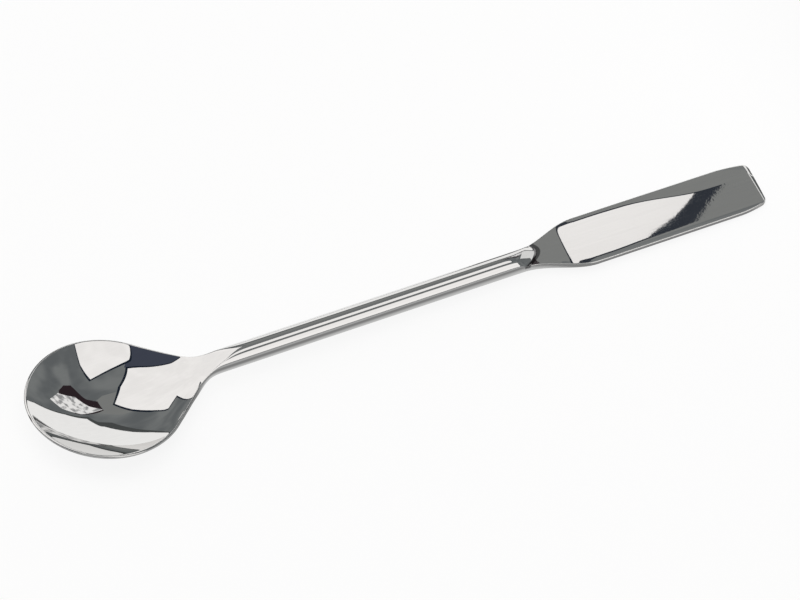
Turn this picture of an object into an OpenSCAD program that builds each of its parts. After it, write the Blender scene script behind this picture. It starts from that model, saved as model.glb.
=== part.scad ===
// Lab spatula forged in one piece from a round steel rod.
// One end is spread and pressed into an egg-shaped spoon bowl, the other is hammered and
// ground into a flat blade with a straight end, and the rod between them stays round.
// Lengths are millimetres and angles are degrees.
// X runs from the spoon to the blade, Z is up with the bowl open upward, Z = 0 is the table.

/* [Overall] */
// length from the tip of the spoon to the end of the blade
total_len = 180; // [140:5:240]
// diameter of the round rod
rod_d = 5.2; // [4:0.1:8]

/* [Spoon bowl] */
// width across the widest part of the bowl
bowl_w = 35.4; // [16:0.2:50]
// length of the round part of the bowl
bowl_len = 35.3; // [18:0.5:50]
// share by which the bowl narrows towards its tip
bowl_point = 0.03; // [0:0.01:0.3]
// depth of the hollow below the rim
bowl_depth = 5.2; // [2:0.1:10]
// distance from the tip to the deepest place of the hollow
hollow_at = 15; // [7:0.5:24]
// length over which the hollow runs out towards the neck
hollow_back = 26; // [12:0.5:32]
// thickness of the pressed sheet
bowl_t = 0.8; // [0.6:0.05:2.5]
// angle by which the rim rises towards the tip
bowl_tilt = 5; // [0:0.5:20]
// height of the rim above the rod axis at the widest part
bowl_lift = 0.4; // [-2:0.1:4]
// softness of the turn from the hollow to the rim
rim_blend = 0.01; // [0.01:0.01:0.3]
// softness of the turn from the hollow to the neck
hollow_blend = 0.1; // [0.05:0.05:0.6]

/* [Neck behind the bowl] */
// angle of each flank of the neck to the rod
neck_angle = 42.3; // [25:0.5:65]
// size of the blend between a flank and the rod
neck_blend = 3; // [0.5:0.1:6]
// slope of the top flat where it runs up to the rod
neck_top_angle = 18; // [8:1:40]
// slope of the rib where the rod fades out under the bowl
neck_rib_angle = 17.3; // [8:0.1:40]
// length by which the rib runs on under the bowl
neck_rib_len = 5; // [0:0.5:12]

/* [Blade] */
// length from the start of the flare to the end of the blade
blade_len = 60.7; // [30:1:100]
// width where the flare ends
blade_w = 14.6; // [8:0.2:30]
// width lost between the flare and the end
blade_taper = 0.2; // [0:0.1:4]
// thickness along the middle of the blade
blade_t = 1.2; // [0.6:0.05:2.5]
// amount by which each long edge is thinner, per face
blade_crown = 0.12; // [0:0.02:0.24]
// drop of the blade below the rod axis
blade_drop = 0.4; // [0:0.1:2]
// length of the flare from the rod to the full width
flare_len = 16.3; // [8:0.5:40]
// slope of the short shoulder cut into the top of the rod
shoulder_angle = 25; // [12:1:50]
// distance from the start of the flare to the foot of the shoulder
shoulder_at = 4; // [1:0.5:10]
// length of the long relief under the flare
relief_len = 15.2; // [10:0.2:30]
// slope of that relief where it runs out into the blade
relief_angle = 9.9; // [6:0.2:25]

/* [Blade end] */
// length over which the end narrows
end_len = 9; // [3:0.5:15]
// amount by which the end narrows on each side
end_narrow = 1.2; // [0:0.1:4]
// radius of the two corners in plan
corner_r = 1.3; // [0.5:0.1:4]
// angle by which the end is ground out of square, about its longer corner
end_skew = 6; // [-8:0.5:8]
// length of the bevel ground along the end
bevel_len = 0.7; // [0.3:0.1:3]
// angle between the bevel and the end
bevel_skew = 2.5; // [-4:0.5:4]
// thickness that the bevel leaves at the end
edge_t = 0.7; // [0.1:0.05:1]

/* [Smoothness] */
// points around one section, a multiple of four
ring_points = 56; // [24:4:96]
// sections along the front half of the bowl
front_rings = 14; // [8:1:30]
// sections from the widest part of the bowl to the rod
neck_rings = 25; // [12:1:50]
// sections along the blade
blade_rings = 34; // [18:1:60]

/* [Hidden] */
rod_r = rod_d / 2;
bowl_a = bowl_len / 2;
bowl_b = bowl_w / 2;
blade_b = blade_w / 2;
half_bowl_t = bowl_t / 2;
half_blade_t = blade_t / 2;
edge_power = 8;
round_factor = 2;
tip_half_w = 1.2;
foot_blend = 0.5;
end_blend = 0.15;
grad_step = 0.01;
seat_len = 0.5;
seat_scale = 0.97;
ring_scale = 1.003;
bend_from = 1.55;
bend_over = 1.5;
fade_share = 0.8;
cut_share = 0.28;
flare_share = 0.28;
plain_share = 0.12;
sides = round(ring_points / 4) * 4;
smooth_rod = 96;

// --- small helpers -------------------------------------------------------------
function clamp01(u) = min(max(u, 0), 1);
function smooth(u) = clamp01(u) * clamp01(u) * (3 - 2 * clamp01(u));
function blend_max(a, b, k) = max(a, b) + pow(max(k - abs(a - b), 0), 2) / (4 * k);
function soft_clamp(z, h) = z / pow(1 + pow(abs(z) / h, edge_power), 1 / edge_power);
function steps(from, to, count) = [for (i = [1 : count]) from + (to - from) * i / count];

// --- plan outline of the bowl and its neck -------------------------------------
flank = tan(neck_angle);
tan_u = flank * bowl_a / sqrt(bowl_b * bowl_b + pow(flank * bowl_a, 2));
tan_x = bowl_a * (1 + tan_u);
tan_w = bowl_b * sqrt(1 - tan_u * tan_u);
neck_x = tan_x + max(tan_w - rod_r, 0) / flank;
neck_end = neck_x + neck_blend / flank;
function bowl_u(x) = (x - bowl_a) / bowl_a;
function bowl_b_at(x) = bowl_b * (1 - bowl_point * pow(min(bowl_u(x), 0), 2));
function egg_w(x) = bowl_b_at(x) * sqrt(max(0, 1 - pow(bowl_u(x), 2)));
function flank_w(x) = blend_max(tan_w - flank * (x - tan_x), rod_r, neck_blend);
function bowl_half_w(x) = x < tan_x ? egg_w(x) : flank_w(x);

// --- heights of the top and the underside around the neck ----------------------
neck_top_rise = tan(neck_top_angle);
neck_rib_rise = tan(neck_rib_angle);
rib_foot = neck_x - neck_rib_len;
rod_from = neck_x + round_factor * rod_r / min(neck_top_rise, neck_rib_rise);
function neck_top(x) = half_bowl_t + blend_max((x - neck_x) * neck_top_rise, 0, foot_blend);
function neck_rib(x) = half_bowl_t + blend_max((x - rib_foot) * neck_rib_rise, 0, foot_blend);

// --- plan outline and heights of the blade -------------------------------------
blade_x = total_len - blade_len;
flare_x = blade_x + flare_len;
shoulder_x = blade_x + shoulder_at;
relief_x = blade_x + relief_len;
rod_to = shoulder_x - round_factor * rod_r / tan(shoulder_angle);
end_x = total_len - end_len;
bevel_h = max(blade_t - edge_t, 0);
crown_share = blade_crown / half_blade_t;
corner_back = tan(abs(end_skew)) * (blade_b - blade_taper / 2 - end_narrow - corner_r);
function wide_w(x) = blade_b - blade_taper / 2 * clamp01((x - flare_x) / (total_len - flare_x));
function narrow_w(x) = end_narrow * pow(clamp01((x - end_x) / end_len), 2);
function corner_w(x) = corner_r * (1 - sqrt(1 - pow(clamp01((x - total_len + corner_r) / corner_r), 2)));
function full_w(x) = wide_w(x) - narrow_w(x) - corner_w(x);
function blade_half_w(x) = rod_r + (full_w(x) - rod_r) * smooth((x - blade_x) / flare_len);
function bevel_at(y) = bevel_len + tan(bevel_skew) * y;
function bevel_z(x, y) = bevel_h * blend_max((x - total_len + bevel_at(y)) / bevel_len, 0, end_blend);
function shoulder_z(x) = blend_max((shoulder_x - x) * tan(shoulder_angle), 0, foot_blend);
function relief_z(x) = blend_max((relief_x - x) * tan(relief_angle), 0, foot_blend);
function blade_top(x) = half_blade_t + shoulder_z(x);
function blade_under(x) = half_blade_t + relief_z(x);
function crown(x, a) = 1 - crown_share * pow(cos(a), 2) * smooth((x - shoulder_x) / flare_len);

// --- the middle surface that every section is laid on --------------------------
bend_x = bend_from * bowl_a;
fade_x = min(hollow_at + fade_share * hollow_back, neck_end - 2);
function across(x, y) = min(pow(y / bowl_half_w(x), 2), 1);
function along(x) = (x - hollow_at) / (x < hollow_at ? hollow_at : hollow_back);
function soft_at(x, y) = rim_blend
    + (hollow_blend - rim_blend) * smooth((x - bowl_a) / bowl_a) * (1 - across(x, y));
function hollow(s, e) = (s + sqrt(s * s + e * e)) / 2;
function bowl_q(x, y) = let (u = pow(along(x), 2)) u + across(x, y) * max(1 - u, 0);
function rim_z(x) = bowl_lift + tan(bowl_tilt) * (bowl_a - x);
function bend(x) = 1 - smooth((x - bend_x) / (neck_end + bend_over - bend_x));
function fade(x) = 1 - smooth((x - fade_x) / (neck_end + bend_over - fade_x));
function bowl_mid(x, y) = rim_z(x) * bend(x)
    - bowl_depth * hollow(1 - bowl_q(x, y), soft_at(x, y)) * fade(x);
function blade_mid(x, y) = -blade_drop * smooth((x - blade_x) / flare_len);
function skew_x(x, y) = (tan(end_skew) * y - corner_back) * smooth((x - end_x) / end_len);

// --- one section: an ellipse cut off level above and below ---------------------
function bowl_raw(x, a) = let (w = bowl_half_w(x), y = w * cos(a),
    lean = x < bowl_a ? w / bowl_b : 1,
    z = soft_clamp(rod_r * lean * sin(a), sin(a) > 0 ? neck_top(x) : neck_rib(x))) [y, z];
function blade_raw(x, a) = let (w = blade_half_w(x), y = w * cos(a), cut = bevel_z(x, y) / 2,
    limit = ((sin(a) > 0 ? blade_top(x) : blade_under(x)) - cut) * crown(x, a),
    z = soft_clamp(rod_r * sin(a), limit) - cut) [y, z];

function bowl_lean(x, y) = let (e = grad_step,
    gx = (bowl_mid(x + e, y) - bowl_mid(x - e, y)) / (2 * e),
    gy = (bowl_mid(x, y + e) - bowl_mid(x, y - e)) / (2 * e),
    n = sqrt(1 + gx * gx + gy * gy)) [-gx / n, -gy / n, 1 / n];
function blade_lean(x, y) = let (e = grad_step,
    gx = (blade_mid(x + e, y) - blade_mid(x - e, y)) / (2 * e),
    n = sqrt(1 + gx * gx)) [-gx / n, 0, 1 / n];

function ring_angle(k) = 360 * k / sides;
function bowl_ring(x) = [for (k = [0 : sides - 1]) let (p = bowl_raw(x, ring_angle(k)))
    [x, p[0], bowl_mid(x, p[0])] + p[1] * bowl_lean(x, p[0])];
function blade_ring(x) = [for (k = [0 : sides - 1]) let (p = blade_raw(x, ring_angle(k)))
    [x + skew_x(x, p[0]), p[0], blade_mid(x, p[0])] + p[1] * blade_lean(x, p[0])];
function round_ring(x, r) = [for (k = [0 : sides - 1])
    [x, r * cos(ring_angle(k)), r * sin(ring_angle(k))]];

// --- where the sections stand --------------------------------------------------
tip_a = asin(tip_half_w / bowl_b);
front_x = [for (a = steps(tip_a, 90, front_rings)) bowl_a * (1 - cos(a))];
neck_sections = steps(bowl_a, rod_from - seat_len, neck_rings);
bowl_x = concat([bowl_a * (1 - cos(tip_a))], front_x, neck_sections);

cut_rings = round(blade_rings * cut_share);
flare_rings = round(blade_rings * flare_share);
plain_rings = round(blade_rings * plain_share);
end_rings = blade_rings - cut_rings - flare_rings - plain_rings;
cut_end = shoulder_x + foot_blend;
end_sections = [for (a = steps(0, 90, end_rings)) end_x + end_len * sin(a)];
blade_sections = concat([rod_to + seat_len], steps(rod_to + seat_len, cut_end, cut_rings),
    steps(cut_end, max(flare_x, relief_x), flare_rings),
    steps(max(flare_x, relief_x), end_x, plain_rings), end_sections);

bowl_rings = concat([for (x = bowl_x) bowl_ring(x)], [round_ring(rod_from, rod_r * ring_scale)]);
blade_skin = concat([round_ring(rod_to, rod_r * ring_scale)], [for (x = blade_sections) blade_ring(x)]);

// --- how it lies: on the bottom of the bowl and on the rod near the blade -------
function low_z(ring) = min([for (p = ring) p[2]]);
function low_x(ring) = [for (p = ring) if (p[2] == low_z(ring)) p[0]][0];
bowl_low = [for (r = bowl_rings) [low_x(r), low_z(r)]];
blade_low = [for (r = blade_skin) [low_x(r), low_z(r)]];
rest_slope = max([for (p = bowl_low) min([for (q = blade_low) (q[1] - p[1]) / (q[0] - p[0])])]);
rest_angle = atan(rest_slope);
function lie_x(p) = p[0] * cos(rest_angle) + p[2] * sin(rest_angle);
function lie_z(p) = p[2] * cos(rest_angle) - p[0] * sin(rest_angle);
all_rings = concat(bowl_rings, blade_skin);
lie_min_x = min([for (r = all_rings) min([for (p = r) lie_x(p)])]);
lie_max_x = max([for (r = all_rings) max([for (p = r) lie_x(p)])]);
lie_min_z = min([for (r = all_rings) min([for (p = r) lie_z(p)])]);

// --- a closed skin over a row of sections --------------------------------------
function spot(i, k) = i * sides + k % sides;
function near_side(k) = k < sides / 4 || k >= 3 * sides / 4;
function quad(i, k) = near_side(k)
    ? [[spot(i, k), spot(i + 1, k), spot(i, k + 1)], [spot(i, k + 1), spot(i + 1, k), spot(i + 1, k + 1)]]
    : [[spot(i, k), spot(i + 1, k + 1), spot(i, k + 1)], [spot(i, k), spot(i + 1, k), spot(i + 1, k + 1)]];
module skin(rings) {
    last = len(rings) - 1;
    points = [for (r = rings) each r];
    walls = [for (i = [0 : last - 1], k = [0 : sides - 1]) each quad(i, k)];
    first_cap = [for (k = [0 : sides - 1]) spot(0, k)];
    last_cap = [for (k = [sides - 1 : -1 : 0]) spot(last, k)];
    polyhedron(points = points, faces = concat(walls, [first_cap, last_cap]));
}

module bowl_end() {
    skin(bowl_rings);
}

module bar(from, to, r) {
    translate([from, 0, 0])
        rotate([0, 90, 0])
            cylinder(r = r, h = to - from, $fn = smooth_rod);
}

// the round rod, with a core that is seated in both worked ends
module rod() {
    bar(rod_from, rod_to, rod_r);
    bar(rod_from - seat_len, rod_to + seat_len, rod_r * seat_scale);
}

module blade_end() {
    skin(blade_skin);
}

module lab_spatula() {
    color([0.78, 0.79, 0.8])
        translate([-(lie_min_x + lie_max_x) / 2, 0, -lie_min_z])
            rotate([0, rest_angle, 0])
                union() {
                    bowl_end();
                    rod();
                    blade_end();
                }
}

lab_spatula();
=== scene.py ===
# %% [markdown]
# # A lab spatula, forged from one steel rod
#
# A lab spatula of this kind starts as a short piece of round stainless rod.
# One end is hammered wide and pressed into a shallow spoon for powders.
# The other end is hammered and ground into a flat blade for scraping.
# The rod between them stays round, and everything is polished until it mirrors the room.
#
# This lesson makes it in the same order as the workshop does: the rod, drawing both ends
# out, hammering them flat, pressing the bowl, laying it down and polishing it.
# The room comes before the rod, because polished steel shows nothing but its room.

import bpy
import bmesh
import math
import numpy as np
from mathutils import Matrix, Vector


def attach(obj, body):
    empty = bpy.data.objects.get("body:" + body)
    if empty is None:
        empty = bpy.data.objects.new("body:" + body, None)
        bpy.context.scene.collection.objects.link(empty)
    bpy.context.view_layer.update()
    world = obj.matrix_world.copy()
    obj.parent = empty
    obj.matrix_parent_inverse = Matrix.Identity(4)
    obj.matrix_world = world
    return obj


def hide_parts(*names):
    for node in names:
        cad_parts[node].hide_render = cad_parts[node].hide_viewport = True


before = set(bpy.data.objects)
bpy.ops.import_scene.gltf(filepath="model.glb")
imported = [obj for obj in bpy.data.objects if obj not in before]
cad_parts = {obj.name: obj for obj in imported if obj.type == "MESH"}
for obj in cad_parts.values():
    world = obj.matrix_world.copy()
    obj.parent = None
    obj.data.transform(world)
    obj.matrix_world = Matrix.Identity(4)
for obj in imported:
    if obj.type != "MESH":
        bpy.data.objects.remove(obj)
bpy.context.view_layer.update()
mm = 0.001

# %% [markdown]
# ## Sizes
# All sizes are millimetres, measured along the rod from the tip of the spoon (x = 0)
# to the end of the blade (x = 180). Slopes are degrees. The groups are the rod, the bowl,
# the neck between them, the blade, its root, and its ground end.

# %% Sizes of the real spatula
total_len = 180
rod_r = 2.6

bowl_w, bowl_len, bowl_depth, sheet_t = 35.4, 35.3, 5.2, 0.8
bowl_point, bowl_tilt, bowl_lift = 0.03, 5, 0.4
hollow_at, hollow_back = 15, 26
rim_blend, hollow_blend = 0.01, 0.1

neck_angle, neck_blend = 42.3, 3
neck_top_angle, neck_rib_angle, neck_rib_len = 18, 17.3, 5

blade_len, blade_w, blade_taper, blade_t = 60.7, 14.6, 0.2, 1.2
blade_crown, blade_drop, flare_len = 0.12, 0.4, 16.3

shoulder_angle, shoulder_at = 25, 4
relief_len, relief_angle = 15.2, 9.9

end_len, end_narrow, corner_r, end_skew = 9, 1.2, 1.3, 6
bevel_len, bevel_skew, edge_t = 0.7, 2.5, 0.7
print("rod", 2 * rod_r, "mm thick, bowl", bowl_w, "x", bowl_len, "mm, blade", blade_w, "mm wide")

# %% [markdown]
# ## How the outlines run
# Seen from above, the bowl is nearly round, and a little narrower towards its tip. Straight
# flanks leave it at a tangent and blend into the rod. It could be drawn as a curve by hand,
# but worked out as a half width for every place along the rod it can be checked, and the
# drawing out below can ask for it at any step.

# %% Outline of the bowl and its neck
def tan(angle):
    return math.tan(math.radians(angle))


def smooth(u):
    """0 below 0, 1 above 1, and a soft curve between them."""
    u = np.clip(u, 0, 1)
    return u * u * (3 - 2 * u)


def blend_max(a, b, k):
    """The larger of two values, with the corner between them rounded over k."""
    return np.maximum(a, b) + np.maximum(k - np.abs(a - b), 0) ** 2 / (4 * k)


bowl_a, bowl_b = bowl_len / 2, bowl_w / 2
flank = tan(neck_angle)
tan_u = flank * bowl_a / math.hypot(bowl_b, flank * bowl_a)
tan_x = bowl_a * (1 + tan_u)
tan_w = bowl_b * math.sqrt(1 - tan_u**2)
neck_x = tan_x + (tan_w - rod_r) / flank
neck_end = neck_x + neck_blend / flank


def bowl_u(x):
    """The place along the bowl: -1 at its tip, 0 at its widest, 1 where a full oval would end."""
    return (x - bowl_a) / bowl_a


def bowl_b_at(x):
    return bowl_b * (1 - bowl_point * np.minimum(bowl_u(x), 0) ** 2)


def bowl_half_w(x):
    egg = bowl_b_at(x) * np.sqrt(np.maximum(0, 1 - bowl_u(x) ** 2))
    flanks = blend_max(tan_w - flank * (x - tan_x), rod_r, neck_blend)
    return np.where(x < tan_x, egg, flanks)


print("the flanks touch the bowl at", round(tan_x, 1), "and the rod at", round(neck_end, 1), "mm")

# %% [markdown]
# ## The blade's outline
# The blade flares out of the rod, runs nearly parallel, and narrows a little over the last
# centimetre. Its two corners are rounded. It is a half width again, like the bowl's.

# %% Outline of the blade
blade_x = total_len - blade_len
flare_x = blade_x + flare_len
end_x = total_len - end_len


def blade_half_w(x):
    wide = blade_w / 2 - blade_taper / 2 * np.clip((x - flare_x) / (total_len - flare_x), 0, 1)
    narrow = end_narrow * np.clip((x - end_x) / end_len, 0, 1) ** 2
    into = np.clip((x - total_len + corner_r) / corner_r, 0, 1)
    corner = corner_r * (1 - np.sqrt(1 - into**2))
    return rod_r + (wide - narrow - corner - rod_r) * smooth((x - blade_x) / flare_len)


print("blade", blade_len, "mm long, full width from", round(flare_x, 1), "mm")

# %% [markdown]
# ## How thick it is
# The hammer leaves the sheet 0.8 mm thick in the bowl and 1.2 mm in the blade. At the neck
# the top runs up to the rod as a flat, and the underside keeps a rib. At the blade a short
# steep shoulder is ground into the top, and a long relief is ground underneath. The wheel
# was held a little askew, so the foot of the shoulder is a slanting curve.

# %% Heights above and below the middle of the metal
round_factor, foot_blend = 2, 0.5
foot_out, foot_skew, foot_curve, foot_half = -0.5, 0.7, 0.25, 3
face_slope, foot_round = 0.5, 0.4
rod_from = neck_x + round_factor * rod_r / min(tan(neck_top_angle), tan(neck_rib_angle))
shoulder_x = blade_x + shoulder_at
relief_x = blade_x + relief_len
rod_to = shoulder_x - round_factor * rod_r / tan(shoulder_angle)
rod_mid = (rod_from + rod_to) / 2


def rise(run, angle):
    """The height of a slope that starts softly at run = 0."""
    return blend_max(run * tan(angle), 0, foot_blend)


def shoulder_foot(y):
    """The place along the rod where the shoulder meets the blade."""
    level = np.clip(y, -foot_half, foot_half)
    return shoulder_x + foot_out + foot_skew * level - foot_curve * level**2


def top_height(x, y):
    neck = sheet_t / 2 + rise(x - neck_x, neck_top_angle)
    blade = blade_t / 2 + face_slope * blend_max(shoulder_foot(y) - x, 0, foot_round)
    return np.where(x < rod_mid, neck, blade)


def under_height(x):
    neck = sheet_t / 2 + rise(x - neck_x + neck_rib_len, neck_rib_angle)
    blade = blade_t / 2 + rise(relief_x - x, relief_angle)
    return np.where(x < rod_mid, neck, blade)


print("the rod stays round from", round(rod_from, 1), "to", round(rod_to, 1), "mm")

# %% [markdown]
# ## A short way to write shaders
# The materials of the room and of the steel are mostly sums: a slope plus a ripple, less a
# rim. Joining maths nodes by hand hides such a sum in a net of wires. This small class
# lets a sum be written as a sum, and each sign makes one Math node.

# %% Shader maths
class Wire:
    """A value on its way through the shader. Plain + - * / make the maths nodes."""

    tree = None

    def __init__(self, socket):
        self.socket = socket

    @classmethod
    def node(cls, kind, output=0, inputs=None, **settings):
        """Any node: its settings first, then a value or a wire for each input named."""
        made = cls.tree.nodes.new(kind)
        for key, value in settings.items():
            setattr(made, key, value)
        for key, value in (inputs or {}).items():
            if isinstance(value, Wire):
                cls.tree.links.new(value.socket, made.inputs[key])
            else:
                made.inputs[key].default_value = value
        return cls(made.outputs[output])

    @classmethod
    def begin(cls, tree, coordinates="Object"):
        """Turns to another node tree, and gives the place on its surface."""
        cls.tree = tree
        return cls.node("ShaderNodeTexCoord", output=coordinates)

    def axis(self, letter):
        """The X, Y or Z of a place."""
        return self.node("ShaderNodeSeparateXYZ", output=letter, inputs={0: self})

    def stretched(self, factors):
        """A place with its axes stretched, so that a pattern on it is squeezed."""
        return self.node("ShaderNodeVectorMath", inputs={0: self, 1: factors}, operation="MULTIPLY")

    def noise(self, scale, detail):
        """Soft random patches on this place, about 1 / scale metres across."""
        wanted = {"Vector": self, "Scale": scale, "Detail": detail}
        return self.node("ShaderNodeTexNoise", inputs=wanted)

    def between(self, start, end):
        """0 up to start, 1 from end, and smooth from one to the other."""
        return self.node("ShaderNodeMapRange", inputs={0: self, 1: start, 2: end},
                         interpolation_type="SMOOTHSTEP")

    def colours(self, first, second):
        """The first colour where this is 0, and the second where it is 1."""
        wanted = {0: self, 6: (*first, 1), 7: (*second, 1)}
        return self.node("ShaderNodeMix", output=2, inputs=wanted, data_type="RGBA")

    def maths(self, operation, *others):
        return self.node("ShaderNodeMath", inputs=dict(enumerate((self, *others))), operation=operation)

    def feed(self, socket):
        self.tree.links.new(self.socket, socket)

    def __add__(self, other):
        return self.maths("ADD", other)

    def __mul__(self, other):
        return self.maths("MULTIPLY", other)

    def __sub__(self, other):
        return self.maths("SUBTRACT", other)

    def __truediv__(self, other):
        return self.maths("DIVIDE", other)

    def __rsub__(self, other):
        return self.node("ShaderNodeMath", inputs={0: other, 1: self}, operation="SUBTRACT")

    def __rtruediv__(self, other):
        return self.node("ShaderNodeMath", inputs={0: other, 1: self}, operation="DIVIDE")

    __radd__ = __add__
    __rmul__ = __mul__


print("signs that make nodes: + - * /")

# %% [markdown]
# ## The room: a chart of the sky
# The spatula lies on a white table in a dim room. It is a mirror, so the lights matter
# twice: they light it, and they are what it shows. Area lamps would light it well, but
# their edges are plain rectangles. Here each light is a glowing sheet with the outline
# that the steel is to show.
#
# To place a sheet, stand at the spatula and look up. Every direction has two numbers, as
# on a sky chart: degrees east (along the rod, towards the blade) and degrees north (across
# the rod, away from the camera) of straight up.

# %% Sky chart
def in_sky(east, north):
    zenith = math.radians(math.hypot(east, north))
    around = Vector((east, north)).normalized() * math.sin(zenith)
    return Vector((around.x, around.y, math.cos(zenith)))


print("20 degrees east of straight up is", [round(part, 2) for part in in_sky(20, 0)])

# %% [markdown]
# ## Sheets
# A sheet is one face with as many corners as its outline needs. It glows by itself, so it
# needs no lamp of its own. The camera doesn't see the sheets, so that the spatula can be
# looked at from every side.
# Nothing real glows evenly, so a pattern can dim a sheet in soft patches.

# %% Glowing sheets
def plain_material(name, colour, glow=0.0, matt=0.0):
    """A glowing material, that also shows a part of the light that falls on it."""
    made = bpy.data.materials.new(name)
    made.use_nodes = True
    shader = made.node_tree.nodes["Principled BSDF"]
    shader.inputs["Base Color"].default_value = (*(matt * part for part in colour), 1)
    shader.inputs["Specular IOR Level"].default_value = 0
    shader.inputs["Roughness"].default_value = 0.9
    shader.inputs["Emission Color"].default_value = (*colour, 1)
    shader.inputs["Emission Strength"].default_value = glow
    return made


def glow_socket(material):
    return material.node_tree.nodes["Principled BSDF"].inputs["Emission Color"]


def sheet_in_sky(name, corners, distance, material, seen_from=(0, 0, 0)):
    """A thin sheet that hangs with its corners at places on the sky chart."""
    points = [Vector(seen_from) + in_sky(*corner) * distance for corner in corners]
    mesh = bpy.data.meshes.new(name)
    mesh.from_pydata(points, [], [list(range(len(points)))])
    mesh.materials.append(material)
    sheet = bpy.data.objects.new(name, mesh)
    sheet.visible_camera = False
    bpy.context.collection.objects.link(sheet)
    return sheet


def dark_sheet(name, corners, distance, colour, seen_from=(0, 0, 0)):
    """A cloth, card or wall: it glows as dimly as such a thing looks."""
    return sheet_in_sky(name, corners, distance, plain_material(name, colour, 1), seen_from)


print("a sheet is made of an outline, a distance and a material")

# %% [markdown]
# ## Light panels
# A softbox is a glowing cloth in a black frame, and the frame gives each reflection its
# thin dark outline. The frame is a larger sheet that hangs behind the panel. The two must
# be well apart: a big sheet with many corners isn't quite flat, and would come through.
# They hang so far away that the bowl, the rod and the blade see them in one direction.

# %% Two softboxes and a window
sky_far = 20
frame_far = 1.8 * sky_far
frame_colour = (0.012, 0.018, 0.03)
panel_colour = (1.0, 0.975, 0.96)
dimmed_colour = tuple(0.94 * part for part in panel_colour)
patch_scale, patch_from, patch_to = 0.16, 0.38, 0.62


def light_panel(name, corners, glow, dark_rim=None):
    """A softly uneven glowing sheet, and behind it the dark frame that holds it."""
    cloth = plain_material(name, panel_colour, glow)
    patches = Wire.begin(cloth.node_tree).noise(patch_scale, 2).between(patch_from, patch_to)
    patches.colours(dimmed_colour, panel_colour).feed(glow_socket(cloth))
    if dark_rim:
        dark_sheet(name + "_frame", dark_rim, frame_far, frame_colour)
    return sheet_in_sky(name, corners, sky_far, cloth)


light_panel("softbox_left", [
    (1.5, 3.7), (11.1, 18.8), (16.6, 32.7), (13.1, 43.8), (8.2, 53.8), (-1.6, 65.5),
    (-8.9, 58.7), (-11.5, 80.6), (-12, 89.5), (-60, 89.5), (-60, 35), (-30, 2)], 1.12,
    dark_rim=[
        (2.0, 2.3), (12.1, 18.3), (15.3, 28.0), (17.5, 33.0), (14.2, 44.4), (9.2, 54.8), (-1.4, 67.0),
        (-8.2, 61.0), (-11.2, 80.9), (-11.8, 89.7), (-61, 89.7), (-62, 35), (-32, 0.6)])
light_panel("softbox_front", [
    (20.7, 6.1), (23.8, -6.1), (24, -18), (14, -17.5), (-10, -24), (-26, -18), (-5.6, -4)], 1.12,
    dark_rim=[
        (21.6, 7.4), (24.5, -6), (24.6, -19), (14, -18.5), (-10, -24.4), (-27, -18), (-6.2, -2.8)])
light_panel("window_behind", [
    (36, -34), (14, -34), (6, -22), (-2, -22), (-2, -80), (36, -80)], 1.15)
print("panels hang", sky_far, "m away and their frames", frame_far, "m")

# %% [markdown]
# ## A board close by
# Low in the north-east stands a white board with a dark edge. It makes the broad pale band
# in the near half of the bowl. It is close, so the bowl and the rod see it in different
# directions, and its corners are set as they look from the bowl.

# %% White board and its edge
over_bowl = (-72 * mm, 0, 0)
board_far, board_edge_far = 0.8, 1.1
board = [(81, 38), (70, 35), (50, 38), (33, 42), (25, 54), (20, 68), (15, 77), (7.8, 89.6)]
board_edge = [
    (81, 36.5), (70, 34), (50, 36.5), (31, 39.6), (22, 51), (17.5, 67), (13.5, 76), (6.6, 89.6)]
white = plain_material("white_board", (1.0, 0.99, 0.98), 1.05)
sheet_in_sky("white_board", board, board_far, white, over_bowl)
dark_sheet("board_haze", board_edge, board_edge_far, (0.075, 0.08, 0.08), over_bowl)
print("the board stands", board_far, "m from the bowl")

# %% [markdown]
# ## A crumpled sheet
# A small sheet of crumpled paper glints in the middle of the bowl. Real folds would be
# lost at this size, so noise with much detail draws them as light and grey creases.

# %% Crumpled sheet
crumpled_paper = plain_material("crumpled_sheet", panel_colour, 1.0)
crease_from, crease_to = 0.36, 0.54
creases = Wire.begin(crumpled_paper.node_tree).noise(0.8, 5).between(crease_from, crease_to)
creases.colours((0.36, 0.36, 0.365), (1.0, 0.985, 0.975)).feed(glow_socket(crumpled_paper))
sheet_in_sky("crumpled_sheet", [
    (58.1, 22.5), (49.6, 14.7), (34.7, 17.5), (24.8, 28.8), (21, 35.1), (35.7, 36.1), (51.1, 30.9)],
    sky_far, crumpled_paper)
print("creases between", crease_from, "and", crease_to, "of the noise")

# %% [markdown]
# ## Cloths, a wall and a card
# What isn't lit matters as much. A dark brown cloth hangs behind the crumpled sheet, a grey
# wall and a blue cloth hang behind the softboxes and colour what shows beside them, and a
# small card close to the rod puts the bright spot on the shoulder of the blade.

# %% Things that don't shine
over_shoulder = (31 * mm, 0, 3 * mm)
cloth_far, wall_far, card_far = 2.4 * sky_far, 3 * sky_far, 0.12
dark_sheet("dark_edge", [
    (48, 12), (42, 7), (35, 7), (32, 11), (21.5, 26), (21.2, 36), (23, 37), (40, 36), (50, 30)],
    cloth_far, (0.03, 0.02, 0.024))
dark_sheet("grey_wall", [
    (13, 22), (19, 22), (24, 27), (24, 37), (17, 46), (12, 46)], wall_far, (0.235, 0.24, 0.235))
dark_sheet("blue_cloth", [
    (3, 2.5), (-4, -6), (-26, -20), (-80, -25), (-80, 4), (-30, 4)], wall_far, (0.06, 0.068, 0.095))
dark_sheet("small_card", [
    (52, -8), (66, -10), (72, 14), (68, 34), (52, 34)], card_far, (0.85, 0.85, 0.84), over_shoulder)
print("cloth", cloth_far, "m away, wall", wall_far, "m, card", card_far, "m")

# %% [markdown]
# ## A lamp overhead
# One broad lamp gives the table its light and the spatula its faint soft shadow. The steel
# doesn't show it, because the panels above are all that it should show.

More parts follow.
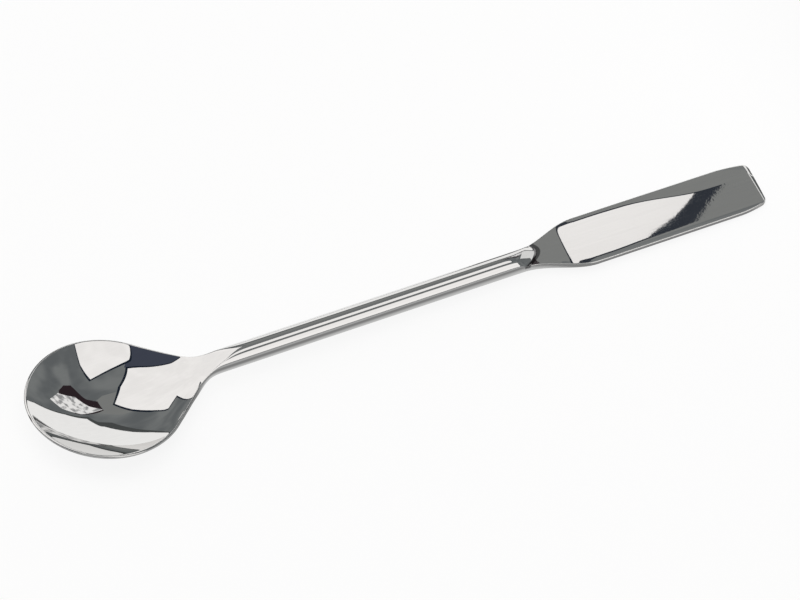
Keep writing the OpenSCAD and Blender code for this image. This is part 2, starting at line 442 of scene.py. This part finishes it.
# %% Lamp overhead
fill = bpy.data.lights.new("fill", "AREA")
fill.shape = "SQUARE"
fill.size = 3.0
fill.energy = 24
overhead = bpy.data.objects.new("fill", fill)
overhead.location = (0, 0, 3.2)
overhead.visible_glossy = False
bpy.context.collection.objects.link(overhead)
print("lamp", fill.size, "m wide,", round(overhead.location.z, 1), "m up")

# %% [markdown]
# ## The table
# The table is two planes, one just under the other. The camera sees white paper that glows,
# so that it stays evenly white. The steel sees the plain bench under the paper, which only
# shows the light that falls on it. One plane can't be both, so the paper is switched off
# for the steel, and the bench for the camera.

# %% Table top
def table(name, z, albedo, glow):
    bpy.ops.mesh.primitive_plane_add(size=30, location=(0, 0, z))
    plane = bpy.context.object
    plane.name = name
    plane.data.materials.append(plain_material(name, (albedo,) * 3, glow, matt=1))
    return plane


paper = table("white_paper", 0, 0.15, 5.78)
paper.visible_glossy = paper.visible_diffuse = paper.visible_shadow = False
bench = table("bench", -0.03 * mm, 0.6, 0.0)
bench.visible_camera = False
print("table", round(paper.dimensions.x), "m wide")

# %% [markdown]
# ## Strips on the bench
# The lower sides of the rod and of the blade mirror the table close by, which isn't equally
# bright everywhere. Strips that only the steel sees give it that: white paper behind the
# rod, dark cloth behind the bowl and the blade, and paper under and before the whole.

# %% Strips on the bench
strip_z = -0.01
blade_side, bowl_side, edge_y = 23, -40, 12


def paper_strip(name, x_from, x_to, y_from, y_to, brightness):
    """A strip on the bench, in millimetres, which only the steel shows."""
    middle_of_strip = ((x_from + x_to) / 2 * mm, (y_from + y_to) / 2 * mm, strip_z * mm)
    bpy.ops.mesh.primitive_plane_add(size=1, location=middle_of_strip)
    strip = bpy.context.object
    strip.name = name
    strip.scale = ((x_to - x_from) * mm, (y_to - y_from) * mm, 1)
    bpy.ops.object.transform_apply(location=True, rotation=True, scale=True)
    strip.data.materials.append(plain_material(name, (brightness,) * 3, 1.0))
    strip.visible_camera = strip.visible_shadow = strip.visible_diffuse = False
    return strip.data.materials[0]


paper_strip("paper_behind", bowl_side, blade_side, edge_y, 60, 1.1)
paper_strip("cloth_by_blade", blade_side, 240, edge_y, 500, 0.1)
paper_strip("cloth_behind", -240, bowl_side, edge_y, 500, 0.06)
under = paper_strip("paper_under", -98, 86, -1500, edge_y, 1.0)
print("three strips behind the spatula, and one under it")

# %% [markdown]
# ## The shadow on the near strip
# The rod shades the paper next to it. Its underside shows that shade as a dark line, with
# the bright paper close to the rod on one side and the evenly lit table on the other.
# A brightness that changes with the distance from the rod draws all three.

# %% Shade on the near strip
table_grey, glint, shade = 0.47, 0.18, 0.2
away = Wire.begin(under.node_tree).axis("Y") / -mm
in_glint = 1 - away.between(2.5, 6)
in_shade = away.between(4.5, 8) * (1 - away.between(13, 21))
grey_here = table_grey + in_glint * glint - in_shade * shade
grey_here.colours((0, 0, 0), (1, 1, 1)).feed(glow_socket(under))
print("greys from", round(table_grey - shade, 2), "to", round(table_grey + glint, 2))

# %% [markdown]
# ## The room around
# What is left of the sky is a dim grey room. An even grey would look like painted metal in
# the bowl, so slow noise makes it a little lighter here and darker there.

# %% Dim room
world = bpy.data.worlds.new("room")
bpy.context.scene.world = world
world.use_nodes = True
cloudy = Wire.begin(world.node_tree, "Generated").noise(3.5, 2).between(0.35, 0.65)
cloudy.colours((0.135, 0.145, 0.15), (0.215, 0.225, 0.225)).feed(
    world.node_tree.nodes["Background"].inputs["Color"])
bpy.context.scene.view_settings.view_transform = "Standard"
print("room:", world.name)

# %% [markdown]
# ## The camera
# It looks down on the table from the front and a little from the spoon's side, with a long
# lens, so that near and far ends are drawn to nearly the same scale. Its place follows from
# two angles and a distance, and it is moved a few millimetres to centre the spatula.

# %% Camera
azimuth, elevation, distance = math.radians(-25.175), math.radians(48.5), 1300 * mm
shift_right, shift_up = -0.54 * mm, 2.34 * mm
back = Vector((math.sin(azimuth) * math.cos(elevation), -math.cos(azimuth) * math.cos(elevation),
               math.sin(elevation)))
right = Vector((math.cos(azimuth), math.sin(azimuth), 0))
up = back.cross(right)
camera_data = bpy.data.cameras.new("camera")
camera_data.lens = 261.3
camera = bpy.data.objects.new("camera", camera_data)
camera.rotation_mode = "QUATERNION"
camera.location = right * shift_right + up * shift_up + back * distance
camera.rotation_quaternion = (-back).to_track_quat("-Z", "Y")
bpy.context.collection.objects.link(camera)
bpy.context.scene.camera = camera
print("camera", round(distance, 2), "m away")

# %% [markdown]
# ## The rod
# The stock is a plain round bar. Only the stretch between the neck and the shoulder will
# stay as it is, so the cylinder is made just that long. Both ends grow out of it, and so
# the whole spatula is one closed skin, as the real one is one piece of steel.

# %% A round bar
sides = 48
bpy.ops.object.select_all(action="DESELECT")
bpy.ops.mesh.primitive_cylinder_add(
    vertices=sides, radius=rod_r * mm, depth=(rod_to - rod_from) * mm,
    location=(rod_mid * mm, 0, 0), rotation=(0, math.pi / 2, 0))
spatula = bpy.context.object
spatula.name = "lab_spatula_forging"
bpy.ops.object.transform_apply(location=True, rotation=True, scale=True)
print("bar of", len(spatula.data.vertices), "vertices")

# %% [markdown]
# ## Drawing out
# A smith draws an end out by hammering it wider and longer. Here each end face is pulled
# along the rod's line in short steps, and at each step it is widened to the outline. That
# is an extrude and a resize, again and again. Bending a flat plate would be quicker, but
# then the round rod would have to be joined on, with a seam.

# %% Drawing out
thin_step = 0.04


def half_width(x):
    return bowl_half_w(x) if x < rod_mid else blade_half_w(x)


def half_height(x):
    """Half the height of the drawn-out bar, before it is hammered flat."""
    return rod_r * np.where(x < bowl_a, bowl_half_w(x) / bowl_b, 1)


def pick_end(piece, side):
    """Selects only the end face that looks along x (side 1) or against it (side -1)."""
    mesh = bmesh.from_edit_mesh(piece.data)
    mesh.select_mode = {"FACE"}
    for face in mesh.faces:
        face.select = face.normal.x * side > 0.9 and len(face.verts) == sides
    mesh.select_flush_mode()
    bmesh.update_edit_mesh(piece.data)


def draw_out(piece, side, places):
    """Pulls one end through the places, and shapes it to the outline at each."""
    bpy.ops.object.mode_set(mode="EDIT")
    bpy.ops.mesh.select_mode(type="FACE")
    pick_end(piece, side)
    here = rod_from if side < 0 else rod_to
    for x in places:
        bpy.ops.mesh.extrude_region_move(TRANSFORM_OT_translate={"value": ((x - here) * mm, 0, 0)})
        wider = float(half_width(x) / half_width(here))
        taller = float(half_height(x) / half_height(here))
        bpy.ops.transform.resize(value=(1, wider, taller), center_override=(x * mm, 0, 0))
        here = x
    bpy.ops.mesh.inset(thickness=thin_step * mm)
    bpy.ops.object.mode_set(mode="OBJECT")


print("each end is closed by an inset of", thin_step, "mm")

# %% [markdown]
# ## The bowl end
# Even steps run down the neck. Round the front of the bowl the steps follow equal angles
# of its oval, so they come closer where the outline turns in, and the last one stops short
# of the tip, where the end face is still wide enough to stay sound.

# %% The bowl end
tip_half_w = 1.2
neck_steps, front_steps = 25, 19
tip_angle = math.asin(tip_half_w / bowl_b)
neck_places = np.linspace(rod_from, bowl_a, neck_steps + 1)[1:]
front_angles = np.linspace(math.pi / 2, tip_angle, front_steps + 1)[1:]
front_places = [bowl_a * (1 - math.cos(angle)) for angle in front_angles]
draw_out(spatula, -1, [*neck_places, *front_places])
print("bowl end drawn out:", len(spatula.data.vertices), "vertices")

# %% [markdown]
# ## The blade end
# The shoulder gets steps of about a millimetre, and the long even part gets wider ones.
# The rounded end is stepped by angle again. A last step as thin as a hair keeps the edge
# of the end sharp when everything is smoothed below.

# %% The blade end
shoulder_steps, body_steps, end_steps = 14, 13, 14
past_foot_x = shoulder_x + 2.5
shoulder_places = np.linspace(rod_to, past_foot_x, shoulder_steps + 1)[1:]
body_places = np.linspace(past_foot_x, end_x, body_steps + 1)[1:]
end_angles = np.linspace(0, math.pi / 2, end_steps + 1)[1:-1]
end_places = [end_x + end_len * math.sin(angle) for angle in end_angles]
blade_places = [*shoulder_places, *body_places, *end_places, total_len - thin_step, total_len]
draw_out(spatula, 1, blade_places)
print("blade end drawn out:", len(spatula.data.vertices), "vertices")

# %% [markdown]
# ## Rounding between the steps
# A Subdivision Surface smooths the steps of the drawing out, and is applied so that the
# hammering below has enough metal to work on.

# %% Subdivide
smoother = spatula.modifiers.new("smoother", "SUBSURF")
smoother.levels = smoother.render_levels = 2
bpy.ops.object.modifier_apply(modifier="smoother")
print("smoothed:", len(spatula.data.vertices), "vertices")

# %% [markdown]
# ## Hammering and grinding
# The section of the bar is an oval. The hammer flattens it above and below, and the
# grinder thins the long edges of the blade and puts a small bevel on its end.
# Scaling faces by hand can't keep a level to a hundredth of a millimetre over a hundred
# places, so every vertex is moved by a formula here. First the skin is put exactly on the
# outline, because the smoothing pulled it in a little.

# %% Hammering
clamp_power, end_blend = 8, 0.4
hair, most_growth = 0.001, 2


def soft_clamp(z, limit):
    """z, held within the limit, with a small round where it meets it."""
    return z / (1 + (np.abs(z) / limit) ** clamp_power) ** (1 / clamp_power)


def true_up(x, y, z):
    """Puts the skin exactly on the drawn oval; the flat end faces stay as they are."""
    w = np.where(x < rod_mid, bowl_half_w(x), blade_half_w(x))
    h = half_height(x)
    out = np.hypot(y / w, z / h)
    skin = (x > x.min() + hair) & (x < x.max() - hair)
    grow = np.where(skin, 1 / np.maximum(out, 1 / most_growth), 1)
    return y * grow, z * grow, w


def hammer(x, y, z):
    y, z, w = true_up(x, y, z)
    bevel_at = bevel_len + tan(bevel_skew) * y
    cut = (blade_t - edge_t) / 2 * blend_max((x - total_len + bevel_at) / bevel_len, 0, end_blend)
    limit = np.where(z > 0, top_height(x, y), under_height(x)) - cut
    thin = blade_crown / (blade_t / 2) * smooth((x - shoulder_x) / flare_len)
    return y, soft_clamp(z, limit * (1 - thin * (y / w) ** 2)) - cut


print("the bevel leaves the end", edge_t, "mm thick")

# %% [markdown]
# ## Pressing the bowl
# A punch presses the flat spoon end into a shallow dish. Its rim rises a little towards
# the tip, and the dish runs out softly into the neck. Everything is laid on a middle
# surface, along the direction that looks straight out of it. So the sheet keeps its
# thickness on the steep sides, as pressed metal does. The blade's middle lies slightly
# lower than the rod's, and its end is ground out of square by a few degrees.

# %% Pressing
rim_ends, hollow_ends, neck_past = 1.55 * bowl_a, hollow_at + 0.8 * hollow_back, 1.5
tiny = 0.01


def run_out(x, start):
    """1 in the bowl, and 0 from the place where the neck ends."""
    return 1 - smooth((x - start) / (neck_end + neck_past - start))


def middle(x, y):
    across = np.minimum((y / bowl_half_w(x)) ** 2, 1)
    along = ((x - hollow_at) / np.where(x < hollow_at, hollow_at, hollow_back)) ** 2
    level = 1 - along - across * np.maximum(1 - along, 0)
    late = smooth((x - bowl_a) / bowl_a)
    soft = rim_blend + (hollow_blend - rim_blend) * late * (1 - across)
    hollow = (level + np.sqrt(level**2 + soft**2)) / 2
    rim = bowl_lift + tan(bowl_tilt) * (bowl_a - x)
    dish = rim * run_out(x, rim_ends) - bowl_depth * hollow * run_out(x, hollow_ends)
    drop = -blade_drop * smooth((x - blade_x) / flare_len)
    return np.where(x < rod_mid, dish, drop)


def press(x, y, z):
    slope_x = (middle(x + tiny, y) - middle(x - tiny, y)) / (2 * tiny)
    slope_y = (middle(x, y + tiny) - middle(x, y - tiny)) / (2 * tiny)
    steep = np.sqrt(1 + slope_x**2 + slope_y**2)
    corner_back = tan(end_skew) * (blade_w / 2 - blade_taper / 2 - end_narrow - corner_r)
    skew = (tan(end_skew) * y - corner_back) * smooth((x - end_x) / end_len)
    return (x + skew - z * slope_x / steep, y - z * slope_y / steep, middle(x, y) + z / steep)


print("the dish runs out from", round(hollow_ends, 1), "to", round(neck_end + neck_past, 1), "mm")

# %% [markdown]
# ## All vertices at once
# The forms are ready. All vertices are taken out of the mesh in one go, moved, and put
# back in one go, which is much faster than one by one.

# %% Hammered and pressed
def vertices_of(piece):
    flat = np.zeros(len(piece.data.vertices) * 3, np.float32)
    piece.data.vertices.foreach_get("co", flat)
    return flat.reshape(-1, 3).astype(float).T / mm


def put_back(piece, x, y, z):
    flat = (np.stack([x, y, z], 1) * mm).astype(np.float32).ravel()
    piece.data.vertices.foreach_set("co", flat)
    piece.data.update()


x, y, z = vertices_of(spatula)
y, z = hammer(x, y, z)
x, y, z = press(x, y, z)
put_back(spatula, x, y, z)
print("pressed; lowest point of the bowl", round(z.min(), 2), "mm below the rod's line")

# %% [markdown]
# ## Laying it down
# On a table it rests on the bottom of the bowl and on the underside near the blade. A
# rigid body simulation could find that, but it shakes and never quite ends. It is quicker
# to tip the spatula until both ends touch together. One angle is too small and another is
# too large, and the gap between the two angles is halved forty times. Then it is moved to
# the middle of the table. The last polish takes off less than 0.02 mm.

# %% Lying at rest
def lowest_gap(angle):
    z_now = z * math.cos(angle) - x * math.sin(angle)
    return z_now[x < rod_mid].min() - z_now[x > rod_mid].min()


low, high = math.radians(-3), math.radians(6)
for _ in range(40):
    half = (low + high) / 2
    if lowest_gap(half) < 0:
        low = half
    else:
        high = half
rest_angle = (low + high) / 2
laid_x = x * math.cos(rest_angle) + z * math.sin(rest_angle)
laid_z = z * math.cos(rest_angle) - x * math.sin(rest_angle)
laid_x -= (laid_x.min() + laid_x.max()) / 2
laid_z -= laid_z.min()
polish_x, polish_y, polish_z = 0.9998, 0.9994, 0.998
put_back(spatula, laid_x * polish_x, y * polish_y, laid_z * polish_z)
bpy.ops.object.shade_smooth()
print("tipped by", round(math.degrees(rest_angle), 3), "degrees")

# %% [markdown]
# ## Polished steel
# The whole spatula is one metal, polished on soft wheels until it mirrors. Three things
# keep it from looking like a computer's chrome, and the next cells make them one by one:
# the blade isn't quite flat, the wheels left fine marks, and the steel isn't equally bright.
# All of them depend on the place, so the place is turned into workshop measures first:
# millimetres from the spoon's tip, sideways, and above the table. The rod lies tipped, so
# a metre on the table is slightly more than a metre along the rod.

# %% Places on the steel
steel = bpy.data.materials.new("polished_steel")
steel.use_nodes = True
spatula.data.materials.append(steel)
shader = steel.node_tree.nodes["Principled BSDF"]
place = Wire.begin(steel.node_tree)
along_per_metre, middle_from_tip = 1000.4, 89.98
ground_from, ground_to = 116, 121.5
from_tip = place.axis("X") * along_per_metre + middle_from_tip
side_way = place.axis("Y") / mm
height = place.axis("Z") / mm
flare = from_tip.between(blade_x, flare_x)
on_blade = from_tip.between(ground_from, ground_to)
print("one metre on the table is", along_per_metre, "mm along the tipped rod")

# %% [markdown]
# ## The blade's ground face
# The blade is ground by hand, so its face isn't flat: it is hollow along its length and
# rolls from side to side. A mirror shows every such slope, and here they decide where the
# bright patch begins and ends. In the mesh, slopes of a few degrees would add up to a
# blade that is too thick. A Bump node turns only the reflections, by the slope of a
# height that is given here in millimetres, and leaves the shape alone.

# %% Hollow and roll of the blade
root_at, root_slope, flare_rise = 123, 0.042, 0.2
hollow_x, hollow_slant, hollow_slope, hollow_bend = 130, 0.14, 0.0455, 0.00026
ripple_at, ripple_len, ripple_depth = 153, 24, 0.006
ripple_from, ripple_full = 140, 148
roll, root_soft, hollow_soft = 0.054, 2, 1.2
rise_along = (from_tip - root_at).maths("SMOOTH_MAX", 0, root_soft) * root_slope + flare * flare_rise
hollow_run = (from_tip - hollow_x - side_way * hollow_slant).maths("SMOOTH_MAX", 0, hollow_soft)
hollow_rise = hollow_run * hollow_slope - hollow_run * hollow_run * hollow_bend
ripple = ((from_tip - ripple_at) * (2 * math.pi / ripple_len)).maths("COSINE") * ripple_depth
rolled = side_way * roll * on_blade
face = rise_along + hollow_rise - ripple * from_tip.between(ripple_from, ripple_full) + rolled
print("hollow from", hollow_x, "mm, rolled by", round(math.degrees(roll), 1), "degrees")

# %% [markdown]
# ## The blade's rim
# A cloth wheel presses hardest on edges and rounds them off. Along the long edges the face
# falls away over about two millimetres, and towards the far corner over nearly five. The
# fall starts as a curve and goes on straight, so that it doesn't get too steep. It is the
# last part of the same height.

# %% Rim of the blade
rim_w, rim_curve, rim_bend, corner_margin = 2.0, 0.038, 1.1, 2.8
rim_from, rim_full, corner_from, corner_full = 122, 129, 148, 168
blade_edge = flare * (blade_w / 2 - rod_r) + rod_r
from_edge = blade_edge - side_way.maths("ABSOLUTE")
far_corner = side_way.between(-1, 2) * from_tip.between(corner_from, corner_full)
over_rim = (far_corner * corner_margin + rim_w - from_edge).maths("MAXIMUM", 0)
bent = over_rim.maths("MINIMUM", rim_bend)
rim_drop = (over_rim * 2 - bent) * bent * rim_curve * from_tip.between(rim_from, rim_full)
blade_face = face - rim_drop
print("the rim falls by", round(math.degrees(2 * rim_curve * rim_bend), 1), "degrees")

# %% [markdown]
# ## Marks of the polishing
# Three kinds of noise are added to that height: slow waves, a grain that the used end of
# the blade has more of, and hairlines along the rod. The hairlines are noise on a place
# that is stretched across the rod. They also make the steel a touch rougher here and there.

# %% Waves, grain and hairlines
wave_height, grain_height, worn_grain, hairline_height = 0.006, 0.0002, 0.0016, 0.00012
worn_slant, worn_from, worn_full = 2.41, 160, 170
waves = place.noise(90, 1)
grain = place.noise(1500, 2)
hairlines = place.stretched((1, 30, 30)).noise(60, 3)
worn = (from_tip - side_way * worn_slant).between(worn_from, worn_full)
marks = waves * wave_height + grain * (worn * worn_grain + grain_height) + hairlines * hairline_height
bump = Wire.node("ShaderNodeBump", inputs={"Height": blade_face + marks, "Distance": mm, "Strength": 1})
bump.feed(shader.inputs["Normal"])
smoothest, roughest = 0.015, 0.035
rough = smoothest + hairlines.between(0.45, 0.75) * (roughest - smoothest)
rough.feed(shader.inputs["Roughness"])
print("roughness from", smoothest, "to", roughest)

# %% [markdown]
# ## The colour of the steel
# Stainless steel is a grey metal with a faint warm tone, and the blade is a little duller
# than the rest. Along the foot of the shoulder a dark curved band is painted into the colour:
# a painted dark reflection on the mirror steel. It follows the same curve as the foot itself.

# %% Colour of the steel
# The last of these sets how much the painted dark reflection at the shoulder darkens the colour.
dull, bright, hairline_tone, painted_reflection_dark = 0.035, 0.735, 0.02, 0.52
(1 - on_blade * dull).feed(shader.inputs["Metallic"])
# A curved band along the foot of the shoulder, on the top only, darkens the colour: a painted dark
# reflection.
level = side_way.maths("MAXIMUM", -foot_half).maths("MINIMUM", foot_half)
past_foot = from_tip - (level * foot_skew - level * level * foot_curve + shoulder_x + foot_out)
painted_reflection_band = past_foot.between(-0.2, 0.1) * (1 - past_foot.between(1.3, 1.6))
painted_dark_reflection = painted_reflection_band * height.between(2.2, 2.8)
tone = hairlines.between(0.3, 0.7) * hairline_tone + bright - painted_dark_reflection * painted_reflection_dark
tone.colours((0, 0, 0.008), (1, 1, 0.99)).feed(shader.inputs["Base Color"])
print("steel on", spatula.name)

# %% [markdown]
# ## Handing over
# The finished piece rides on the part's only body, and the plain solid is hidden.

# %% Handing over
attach(spatula, "root")
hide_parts("lab_spatula")
